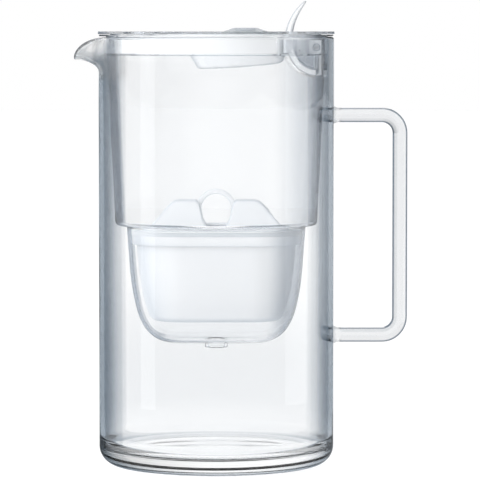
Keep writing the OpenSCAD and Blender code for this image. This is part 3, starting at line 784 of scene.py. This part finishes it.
def hopper():
    """Tank, well and nozzle as one clear moulding. Its section runs down the outside and back up the
    inside, each row an oval that is round on the tank and the nozzle."""
    slope = (TANK_TOP_R - TANK_LOW_R) / (FLANGE_Z - TANK_Z)
    low = 2
    ring_r = TANK_TOP_R + 1.3
    rim_in = TANK_TOP_R - TANK_WALL
    top = FLANGE_Z + 1
    outer = np.concatenate([
        [(FLANGE_R - 0.3, top), (FLANGE_R, top - 0.3)],
        [(FLANGE_R, FLANGE_Z + 0.25), (FLANGE_R - 0.25, FLANGE_Z)],
        [(ring_r, FLANGE_Z), (ring_r, RING_LOW_Z + 0.3), (ring_r - 0.3, RING_LOW_Z)],
        line((TANK_TOP_R - slope * (FLANGE_Z - RING_LOW_Z), RING_LOW_Z),
             (TANK_LOW_R + slope * low, TANK_Z + low), 10),
        arc(TANK_LOW_R - low, TANK_Z + low, low, 0, -90, 6)[1:]])
    rows = with_run(outer, 0)
    well_top = np.array([HALF_RUN, WELL_SIDE[-1, 0] + 0.6, TANK_Z])
    tank_edge = np.array([0, TANK_LOW_R - low, TANK_Z])
    rows += [tuple(tank_edge + (well_top - tank_edge) * k) for k in np.linspace(0, 1, 9)[1:]]
    rows += [(HALF_RUN, WELL_SIDE[-1, 0] + 0.1, TANK_Z - 0.6)]
    rows += with_run(WELL_SIDE[::-1][1:])
    rows += [(HALF_RUN * k, WELL_SIDE[0, 0] * k + NOZZLE_R * (1 - k), WELL_Z)
             for k in (0.75, 0.5, 0.25, 0)]
    bottom = WELL_Z - 2.8
    rows += with_run([(NOZZLE_R, WELL_Z - 0.5), (NOZZLE_R, bottom + 0.4), (NOZZLE_R - 0.4, bottom),
                      (BORE_R + 0.3, bottom), (BORE_R, bottom + 0.3), (BORE_R, WELL_Z + WELL_WALL)], 0)
    inside = moved(WELL_SIDE, WELL_WALL)
    inner_z = WELL_Z + WELL_WALL
    rows += [(HALF_RUN * k, inside[0, 0] * k + BORE_R * (1 - k), inner_z) for k in (0.25, 0.5, 0.75)]
    rows += with_run([p for p in inside if p[1] < TANK_Z - 1])
    well_in = np.array([HALF_RUN, inside[-1, 0], TANK_Z + TANK_FLOOR])
    tank_in = np.array([0, TANK_LOW_R - TANK_WALL - 1, TANK_Z + TANK_FLOOR])
    rows += [tuple(well_in + (tank_in - well_in) * k) for k in np.linspace(0, 1, 9)]
    rows += with_run(np.concatenate([
        line((TANK_LOW_R - TANK_WALL, TANK_Z + TANK_FLOOR + 1), (rim_in, top - 0.3), 10),
        [(rim_in + 0.3, top)]]), 0)
    grid = oval_rows(rows, FULL_TURN)
    # The centring ring, rows 4 to 6, stops at the lip and at the handle
    from_lip = np.abs(np.degrees(FULL_TURN) - 180)
    off_lip = from_lip - (LIP_HALF_ANGLE + 4)
    off_handle = 180 - from_lip - 6
    ring = step(off_lip, 0, 1.5) * step(off_handle, 0, 1.5)
    radius = np.hypot(grid[4:7, :, 0], grid[4:7, :, 1])
    least = TANK_TOP_R + 0.05
    grid[4:7, :, :2] *= ((least + (radius - least) * ring) / radius)[..., None]
    return make("hopper_moulding", [(grid, True)], "hopper", "clear_plastic",
                "hopper_tank", "cartridge_well", "drip_nozzle")


CUP_SIDE = softened(np.concatenate([
    arc(15.5, CUP_Z + 5.5, 5.5, -90, -12, 10), [(24.4, 103), (26.6, 118), (28.2, COLLAR_Z)]]), 2)


def cup():
    """The cartridge's oval cup, an open shell with a round heel and two feet: rows of ovals up the
    outside and down the inside, and two turned profiles."""
    inside = moved(CUP_SIDE, CUP_WALL)
    floor = [(HALF_RUN * k, CUP_SIDE[0, 0] * k, CUP_Z) for k in np.linspace(0, 1, 6)[:-1]]
    rows = floor + with_run(CUP_SIDE)
    rows += with_run([(CUP_SIDE[-1, 0] - CUP_WALL, COLLAR_Z)]) + with_run(inside[::-1][1:])
    rows += filled(HALF_RUN, inside[0, 0], CUP_Z + CUP_WALL)
    sheets = [(oval_rows(rows, FULL_TURN), False)]
    foot = np.array([(0, -1.2), (1.5, -1.2), (1.8, -0.9), (1.8, 0.1), (0, 0.1)]) + [0, CUP_Z]
    for x in (-23.2, 23.2):
        sheets.append((turned(foot, FULL_TURN[::8], (x, 0)), False))
    return make("cartridge_cup_shell", sheets, "cartridge", "cartridge_white", "cartridge_cup")


def smooth_least(a, b, width):
    """The smaller of two heights, with the ridge where they cross rounded over width."""
    h = np.clip(0.5 + 0.5 * (b - a) / width, 0, 1)
    return b + (a - b) * h - width * h * (1 - h)


def cap_height(x, y):
    """Top of the cap: two humps with a valley between them along X, a roof slope along Y, and inlet
    slots pressed into the outer slopes."""
    far = np.abs(x)
    along = np.interp(far, [0, 5.6, 8.4, 9.4, 10.6, 12.6, 23.6, 26.4, 40, 44],
                      [VALLEY_Z, VALLEY_Z, 152.6, 156.6, 160.4, HUMP_Z, HUMP_Z, 161, 148.6, 147])
    across = np.interp(np.abs(y), [0, 10, 18.5, 20], [HUMP_Z, HUMP_Z, 148.4, COLLAR_TOP_Z])
    high = smooth_least(along, across, 2.4)
    slot = np.zeros_like(high)
    for middle in (28.6, 32, 35.4, 38.8):
        inside = 1 - step(np.abs(far - middle), 0.45, 0.8)
        slot = np.maximum(slot, inside * (1 - step(np.abs(y), 8.2, 9)))
    return high - 1.3 * slot


def cap():
    """The cartridge's cap: an oval collar with a groove for its seal, and the roof with its humps, a
    grid of heights that narrows towards its ends."""
    gap = 0.3
    r, r_low = (float(np.interp(z, WELL_SIDE[:, 1], WELL_SIDE[:, 0])) - WELL_WALL - gap
                for z in (COLLAR_TOP_Z, COLLAR_Z))
    r_groove = r - 1.1
    r_cup = CUP_SIDE[-1, 0] - CUP_WALL
    top_z = COLLAR_TOP_Z
    collar = [(r_cup, COLLAR_Z), (r_low - 0.4, COLLAR_Z), (r_low, COLLAR_Z + 0.4),
              (r, top_z - 3.4), (r - 0.2, top_z - 3.2), (r_groove, top_z - 3.2),
              (r_groove, top_z - 1), (r - 0.2, top_z - 1), (r, top_z - 0.8),
              (r, top_z - 0.4), (r - 0.4, top_z)]
    rows = with_run(collar) + filled(HALF_RUN, r - 0.4, top_z, 6)
    rows = [(HALF_RUN * k, r_cup * k, COLLAR_Z) for k in (0, 0.5)] + rows
    sheets = [(oval_rows(rows, FULL_TURN), False)]
    # The roof is a closed grid whose border drops into the collar
    roof_low = COLLAR_TOP_Z - 0.2
    u = np.concatenate([np.linspace(-44, -12.8, 150), np.linspace(-12.6, 12.6, 90),
                        np.linspace(12.8, 44, 150)])
    v = np.linspace(-20, 20, 72)
    gx, gy = np.meshgrid(u, v, indexing="xy")
    end = np.clip((np.abs(gx) - 30) / 14, 0, 1)
    gy = gy * np.sqrt(1 - 0.55 * end**2.5)
    high = np.maximum(cap_height(gx, gy), roof_low)
    high[[0, -1], :] = roof_low
    high[:, [0, -1]] = roof_low
    top = np.stack([gx, gy, high], axis=-1)
    under = top.copy()
    under[..., 2] = roof_low
    # Down one side of the roof and back under it, so that the columns wrap round
    sheets.append((np.concatenate([top, under[:, ::-1][:, 1:-1]], axis=1), False))
    return make("cartridge_cap_shell", sheets, "cartridge", "cartridge_white", "cartridge_cap", sharp=50)


def pull_ring():
    """A flat ring with rounded edges, cut straight where it stands in the valley: its radii are the
    lesser of the ring's and of the way down to the valley, over the sine."""
    around = np.linspace(0, 2 * math.pi, 129)[:-1]
    down = np.maximum(-np.sin(around), 1e-9)
    outer = np.minimum(RING_R, (RING_Z - VALLEY_Z) / down)
    inner = np.minimum(RING_HOLE_R, (RING_Z - VALLEY_Z - 1.4) / down)
    edge = 0.6
    corners = np.radians(np.linspace(0, 90, 5))
    section = []
    for side, start in ((1, 0), (1, 90), (-1, 180), (-1, 270)):
        at_outer = start in (0, 270)
        for c in corners:
            turn = c + math.radians(start)
            base = outer - edge if at_outer else inner + edge
            y = side * (RING_HALF - edge) + edge * math.sin(turn)
            section.append((base + edge * math.cos(turn), y))
    rows = [np.stack([rho * np.cos(around), 0 * rho + y, RING_Z + rho * np.sin(around)], axis=-1)
            for rho, y in section]
    return make("pull_ring_loop", [(np.array(rows), True)], "cartridge", "cartridge_white", "pull_ring")


def ring_plate(inner, outer, low, high, angles, centre, edge=0.3):
    """A flat plate between two outlines given as polar radii, with rounded edges all round."""
    corner = np.radians([0, 30, 60, 90])
    across = np.linspace(0, 1, 8)[1:-1]
    a, b = inner + edge, outer - edge
    rows = [(a - edge * math.cos(k), high - edge + edge * math.sin(k)) for k in corner]
    rows += [(a + (b - a) * k, high) for k in across]
    rows += [(b + edge * math.cos(k), high - edge + edge * math.sin(k)) for k in corner[::-1]]
    rows += [(b + edge * math.cos(k), low + edge - edge * math.sin(k)) for k in corner]
    rows += [(a + (b - a) * k, low) for k in across[::-1]]
    rows += [(a - edge * math.cos(k), low + edge - edge * math.sin(k)) for k in corner[::-1]]
    return np.array([np.stack([centre + rho * np.cos(angles), rho * np.sin(angles), 0 * rho + z], axis=-1)
                     for rho, z in rows])


def box_exit(angles, ahead, beside):
    """How far a ray from the centre runs inside a box that reaches ahead along +X and beside in Y."""
    c, s = np.cos(angles), np.abs(np.sin(angles))
    reach = np.minimum(ahead / np.maximum(c, 1e-9), beside / np.maximum(s, 1e-9))
    return np.where(c > 0, reach, 0)


def with_corners(*corners):
    """Angles all round, with the given corners on both sides exactly among them."""
    marks = [math.atan2(y, x) for x, y in corners]
    every = np.concatenate([np.linspace(-math.pi, math.pi, 361)[:-1], marks, [-m for m in marks]])
    return np.unique(np.round(every, 9))


def lid_plate():
    """The lid's clear top plate round its filling hole, with the wide and the narrow slot: its inner
    outline is the farthest of the hole's radius and the exits of two boxes."""
    slot_x = 56.5
    neck_x, neck = 66, 7.6
    meets_x = math.sqrt(HOLE_R**2 - SLOT_HALF**2)
    angles = with_corners((slot_x, SLOT_HALF), (neck_x, neck), (slot_x, neck), (meets_x, SLOT_HALF))
    slots = np.maximum(box_exit(angles, slot_x, SLOT_HALF), box_exit(angles, neck_x, neck))
    inner = np.maximum(HOLE_R, slots)
    outer = 0 * angles + LID_R
    grid = ring_plate(inner, outer, PLATE_Z, LID_Z, angles, 0)
    return make("lid_plate_clear", [(grid, True)], "lid", "clear_plastic", "lid_top_plate")


def flap():
    """The flap's clear plate and tail, round the button's hole, with the posts of the circuit board."""
    half = SLOT_HALF - 0.6
    ahead = TAIL_X - DOME_X
    angles = with_corners((ahead, half))
    offset = -DOME_X * np.cos(angles)
    round_it = offset + np.sqrt(FLAP_R**2 - DOME_X**2 + offset**2)
    outer = np.maximum(round_it, box_exit(angles, ahead, half))
    grid = ring_plate(0 * angles + BUTTON_R + 1.6, outer, PLATE_Z, LID_Z, angles, DOME_X)
    sheets = [(grid, True)]
    post_top, bore, post_r = PLATE_Z - 0.02, 0.95, 2.4
    post = np.array([(bore, POST_LOW_Z), (post_r - 0.2, POST_LOW_Z), (post_r, POST_LOW_Z + 0.2),
                     (post_r, post_top), (bore, post_top)])
    for at in POST_AT:
        sheets.append((turned(post, FULL_TURN[::6], at), True))
    return make("flap_plate_clear", sheets, "flap", "clear_plastic", "flap_plate")


def signed_power(v, power):
    """A power of the size of v, with v's sign."""
    return np.sign(v) * np.abs(v) ** power


def thumb_tab():
    """The thumb tab: at each height a rounded bar from its back curve to its face curve, as wide as the
    outline allows there, closing at the tip."""
    steps = 40
    back = bezier((42.1, LID_Z), (44.3, 272.5), (47.2, 277.2), (53.8, 283.15), steps)
    face = bezier((46.9, LID_Z), (48, 270.4), (50.6, 276.3), (55.1, 282.4), steps)
    height = (back[:, 1] + face[:, 1]) / 2
    share = np.clip((height - LID_Z) / (TIP_Z - LID_Z), 0, 1)
    root_half = 13
    half = root_half * (1 - 0.12 * share) * np.sqrt(np.clip(1 - share**7, 0, 1))
    around = np.linspace(0, 2 * math.pi, 97)[:-1]
    across = signed_power(np.cos(around), 0.55)
    depth = signed_power(np.sin(around), 0.8)
    shrink = np.sqrt(np.clip(1 - (share - 0.94) / 0.06, 0, 1))[:, None]
    middle = (back + face) / 2
    arm = (back - face) / 2
    x = middle[:, 0, None] + arm[:, 0, None] * depth * shrink
    z = middle[:, 1, None] + arm[:, 1, None] * depth * shrink
    y = half[:, None] * across
    rows = np.stack([x, y, z], axis=-1)
    root = rows[:1].mean(axis=1, keepdims=True) + 0 * rows[:1]
    tip = rows[-1:].mean(axis=1, keepdims=True) + 0 * rows[-1:]
    return make("thumb_tab_curved", [(np.concatenate([root, rows, tip]), False)], "flap", "milky_plastic",
                "thumb_tab", sharp=60)


def pod_rows(table):
    """Rings of the pod from rows of (least X, most X, half width, height at each end): round-ended ovals
    with an exponent of 2.2, the rows between them filled in along a softened line."""
    around = np.linspace(0, 2 * math.pi, 145)[:-1]
    u = signed_power(np.cos(around), 2 / 2.2)
    v = signed_power(np.sin(around), 2 / 2.2)
    x0, x1, half, z0, z1 = (column[:, None] for column in softened(np.array(table, float), 2).T)
    return np.stack([(x0 + x1) / 2 + (x1 - x0) / 2 * u, half * v, z0 + (z1 - z0) * (1 + u) / 2], axis=-1)


def pod():
    """The milky bowl under the flap, an open shell with a slanted round floor: rows of least X, most X,
    half width and the heights at both ends."""
    wall = 1.6
    top = PLATE_Z - 0.8
    back, front, half = POD_BACK, POD_FRONT, POD_HALF
    full, hollow = (back, front, half), (back + wall, front - wall, half - wall)
    outer = pod_rows([
        (11, 12, 0.01, 242.2, 242.2), (-7, 29, 12.6, 241.5, 243.7), (-10.9, 36.6, 16.4, 241.7, 244.5),
        (-12, 40, 17.8, 243, 245.5), (-13.2, 41.2, 18.4, 245, 247.2), (*full, SKIRT_Z, SKIRT_Z),
        (*full, SKIRT_Z + 2, SKIRT_Z + 2), (*full, top, top)])
    inner = pod_rows([
        (*hollow, top, top), (*hollow, SKIRT_Z + 1, SKIRT_Z + 1),
        (-12.6 + wall, 40.4 - wall, 18 - wall, 245.4, 247.2),
        (-10.4 + wall, 37 - wall, 16 - wall, 243.4, 246), (11, 12, 0.01, 243.8, 243.8)])
    rows = np.concatenate([outer, inner])
    return make("pod_bowl", [(rows, False)], "flap", "milky_plastic", "pod_shell")


def indicator():
    """The low dome on the flap, and the button in it: profiles turned round the dome's axis."""
    hole, crest = BUTTON_R + 0.3, BUTTON_R + 1.2
    dome = np.concatenate([
        [(hole, 0), (DOME_R - 0.1, 0), (DOME_R, 0.1)],
        bezier((DOME_R, 0.35), (DOME_R - 2.2, 0.6), (DOME_R - 4, 1.7), (crest, 2.2), 14),
        bezier((crest, 2.2), (BUTTON_R + 0.6, 2.2), (hole, 2.1), (hole, 1.8), 5)[1:]])
    make("indicator_dome", [(turned(dome + [0, LID_Z], FULL_TURN, (DOME_X, 0)), True)], "flap",
         "bezel_plastic", "indicator_bezel", sharp=60)
    collar = BUTTON_R + 1.1
    button = np.concatenate([
        [(0, 259.4), (1.5, 259.4), (1.5, 262.9), (collar, 262.9), (collar, 264), (BUTTON_R, 264)],
        bezier((BUTTON_R, 265.4), (BUTTON_R, 266.1), (BUTTON_R - 0.4, 266.3), (BUTTON_R - 1, 266.4), 7),
        bezier((BUTTON_R - 1, 266.4), (3, 266.2), (1.5, 266.15), (0, 266.15), 8)[1:]])
    make("reset_button_cap", [(turned(button, FULL_TURN, (DOME_X, 0)), False)], "button", "bezel_plastic",
         "reset_button", sharp=60)


def soften_nodes():
    """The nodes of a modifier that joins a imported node's triangles and shades its round faces smooth."""
    tree = bpy.data.node_groups.new("soft_shading", "GeometryNodeTree")
    tree.interface.new_socket("Mesh", in_out="INPUT", socket_type="NodeSocketGeometry")
    tree.interface.new_socket("Mesh", in_out="OUTPUT", socket_type="NodeSocketGeometry")
    start = tree.nodes.new("NodeGroupInput")
    end = tree.nodes.new("NodeGroupOutput")
    merge = tree.nodes.new("GeometryNodeMergeByDistance")
    merge.inputs["Distance"].default_value = MERGE
    faces = tree.nodes.new("GeometryNodeSetShadeSmooth")
    edges = tree.nodes.new("GeometryNodeSetShadeSmooth")
    edges.domain = "EDGE"
    edges.inputs["Shade Smooth"].default_value = False
    angle = tree.nodes.new("GeometryNodeInputMeshEdgeAngle")
    sharp = tree.nodes.new("FunctionNodeCompare")
    sharp.operation = "GREATER_THAN"
    sharp.inputs[1].default_value = math.radians(32)
    links = tree.links
    links.new(start.outputs[0], merge.inputs[0])
    links.new(merge.outputs[0], faces.inputs[0])
    links.new(faces.outputs[0], edges.inputs[0])
    links.new(angle.outputs[0], sharp.inputs[0])
    links.new(sharp.outputs[0], edges.inputs["Selection"])
    links.new(edges.outputs[0], end.inputs[0])
    return tree


def dress_nodes():
    """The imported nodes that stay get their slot's material, round shading and, where it shows, a small
    bevel along their edges."""
    tree = soften_nodes()
    slots = {row["node"]: row["material_slot"] for row in frame["record"]["subparts"]}
    bevels = {"lid_frame": 0.25 * MM, "lid_clips": 0.2 * MM, "hinge_bracket": 0.2 * MM}
    for name, obj in frame["nodes"].items():
        if obj.hide_render:
            continue
        obj.data.materials.clear()
        obj.data.materials.append(OWN_LOOK.get(name, MATERIALS[slots[name]]))
        if name in bevels:
            weld = obj.modifiers.new("weld", "WELD")
            weld.merge_threshold = MERGE
            bevel = obj.modifiers.new("bevel", "BEVEL")
            bevel.width = bevels[name]
            bevel.segments = 2
            bevel.limit_method = "ANGLE"
            bevel.angle_limit = math.radians(50)
        smooth = obj.modifiers.new("round_shading", "NODES")
        smooth.node_group = tree


def soft_box(name, place, wide, tall, power, lights):
    """A lamp turned towards the pitcher: one that lights it, or one that only shows as a reflection."""
    lamp = bpy.data.lights.new(name, "AREA")
    lamp.shape = "RECTANGLE"
    lamp.size, lamp.size_y = wide, tall
    lamp.energy = power
    box = bpy.data.objects.new(name, lamp)
    bpy.context.scene.collection.objects.link(box)
    box.location = place
    box.rotation_euler = (Vector((0, 0, place[2])) - box.location).to_track_quat("-Z", "Y").to_euler()
    box.visible_camera = False
    box.visible_transmission = False
    box.visible_diffuse = lights
    box.visible_glossy = not lights


def studio():
    """A pale floor, a white room, one large soft lamp to the left and two strips that gloss shows."""
    mesh = bpy.data.meshes.new("floor")
    half = 9
    corners = [(-half, -half, 0), (half, -half, 0), (half, half, 0), (-half, half, 0)]
    mesh.from_pydata(corners, [], [(0, 1, 2, 3)])
    floor = bpy.data.objects.new("floor", mesh)
    bpy.context.scene.collection.objects.link(floor)
    below = 0.2 * MM
    floor.location.z = -below
    material, p = paint("floor_white")
    card = p.principled(Base_Color=rgb(0.9, 0.9, 0.9), Roughness=0.9, Specular_IOR_Level=0.1)
    level = p.span(p.light("Is Diffuse Ray"), 0, 1, 0.15, 0.05)
    glow = p.node("ShaderNodeEmission", {}, {"Color": rgb(1, 1, 1), "Strength": level})
    p.finish(p.node("ShaderNodeAddShader", {}, {0: card, 1: glow}))
    mesh.materials.append(material)

    world = bpy.data.worlds.new("room")
    bpy.context.scene.world = world
    world.use_nodes = True
    p = Paint(world.node_tree)
    way = p.node("ShaderNodeTexCoord", out="Generated")
    x = p.node("ShaderNodeSeparateXYZ", {}, {0: way}, out="X")
    scattered = p.light("Is Diffuse Ray")
    strength = p.span(x, 0.05, 1, 1.01, 0.4, "LINEAR") * (1 - scattered)
    strength = strength + p.span(x, -0.6, 1, 1.5, 0.2, "LINEAR") * scattered
    seen = p.light("Is Camera Ray")
    strength = strength * (1 - seen) + seen
    p.finish(p.node("ShaderNodeBackground", {}, {"Color": rgb(1, 1, 1), "Strength": strength}),
             "ShaderNodeOutputWorld")

    soft_box("soft_box", (-1.3, -1.6, 1.1), 0.9, 1.6, 9, True)
    # Two tall strips that only show as soft upright lights in what is glossy
    soft_box("strip_right", (0.37, -0.07, 0.305), 0.19, 0.6, 0.42, False)
    soft_box("strip_left", (-0.323, -0.161, 0.305), 0.1, 0.6, 0.26, False)

    cycles = bpy.context.scene.cycles
    cycles.max_bounces = 28
    cycles.transmission_bounces = 28
    cycles.transparent_max_bounces = 24
    cycles.glossy_bounces = 8


def camera():
    """At the height of the lid, 2 m away, looking slightly down at the middle of the pitcher."""
    data = bpy.data.cameras.new("camera")
    data.sensor_width = 36
    distance = 2.0
    pixels, mm_per_pixel = 480, 0.61
    data.lens = data.sensor_width * distance / (pixels * mm_per_pixel * MM)
    eye = bpy.data.objects.new("camera", data)
    bpy.context.scene.collection.objects.link(eye)
    aim = Vector((0.0145, 0, 0.1371))
    eye.location = (aim.x, -distance, 0.264)
    eye.rotation_euler = (aim - eye.location).to_track_quat("-Z", "Y").to_euler()
    bpy.context.scene.camera = eye


jug()
handle()
hopper()
cup()
cap()
pull_ring()
lid_plate()
flap()
thumb_tab()
pod()
indicator()
dress_nodes()
studio()
camera()

view = bpy.context.scene.view_settings
view.view_transform = "Standard"
